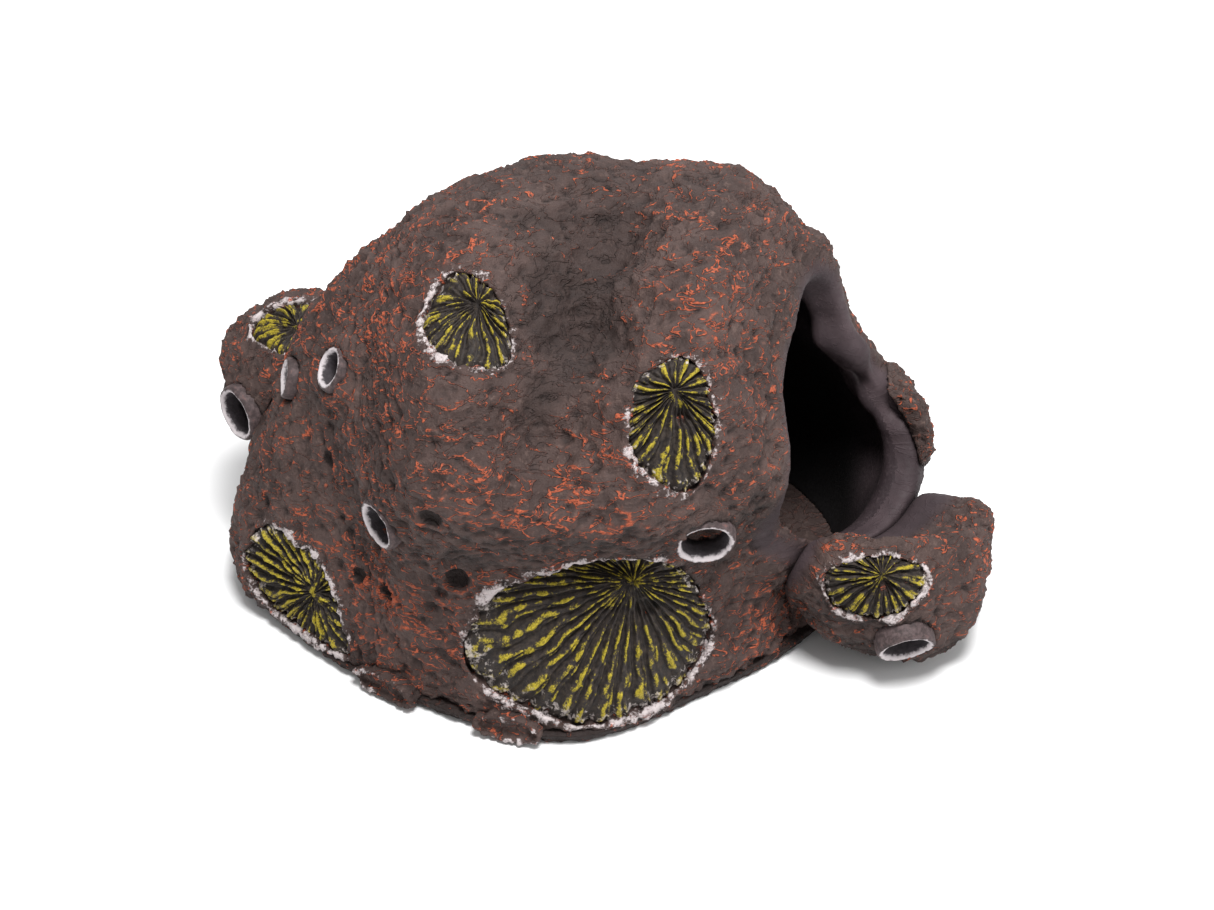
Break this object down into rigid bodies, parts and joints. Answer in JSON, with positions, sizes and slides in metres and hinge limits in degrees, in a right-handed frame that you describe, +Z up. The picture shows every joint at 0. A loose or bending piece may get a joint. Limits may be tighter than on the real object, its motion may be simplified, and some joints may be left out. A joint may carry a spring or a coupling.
{
  "type": "resin cave ornament",
  "caption": "Hollow lava-rock cave ornament with one side mouth, side boulders, recessed ribbed coral fans and white-rimmed tube collars, resting on a flat base.",
  "frame": {"origin": "centre of the bounding box at the underside of the base slab", "axes": "+Z up; +X towards the cave mouth, along the longest extent; -Y towards the side with the big front fan"},
  "size_m": [0.1834, 0.1382, 0.1057],
  "materials": {
    "rock": "matte painted cast resin, dark brown with orange dry-brushed ridges",
    "lining": "matte painted cast resin, smooth dark purple-grey",
    "base": "matte cast resin, dark brown",
    "coral": "matte painted cast resin, black valleys and yellow dry-brushed ribs",
    "tube": "matte painted cast resin, white dry-brushed rim",
    "shell": "matte painted cast resin, white dry-brushed edge"
  },
  "bodies": {
    "root": {"rock_body": "rock", "cave_lining": "lining", "base_slab": "base", "left_boulder": "rock", "lip_boulder": "rock", "rim_boulder": "rock", "fan_big_front": "coral", "fan_dome": "coral", "fan_right_front": "coral", "fan_left_low": "coral", "fan_right_side": "coral", "fan_back_left": "coral", "fan_back_high": "coral", "fan_left_boulder": "coral", "fan_lip": "coral", "collar_dome_left": "tube", "collar_left_edge": "tube", "collar_band": "tube", "collar_brow": "tube", "collar_back_left": "tube", "collar_back_right": "tube", "collar_left_boulder": "tube", "collar_lip": "tube", "edge_shell_left": "shell", "edge_shell_front": "shell"}
  },
  "joints": []
}
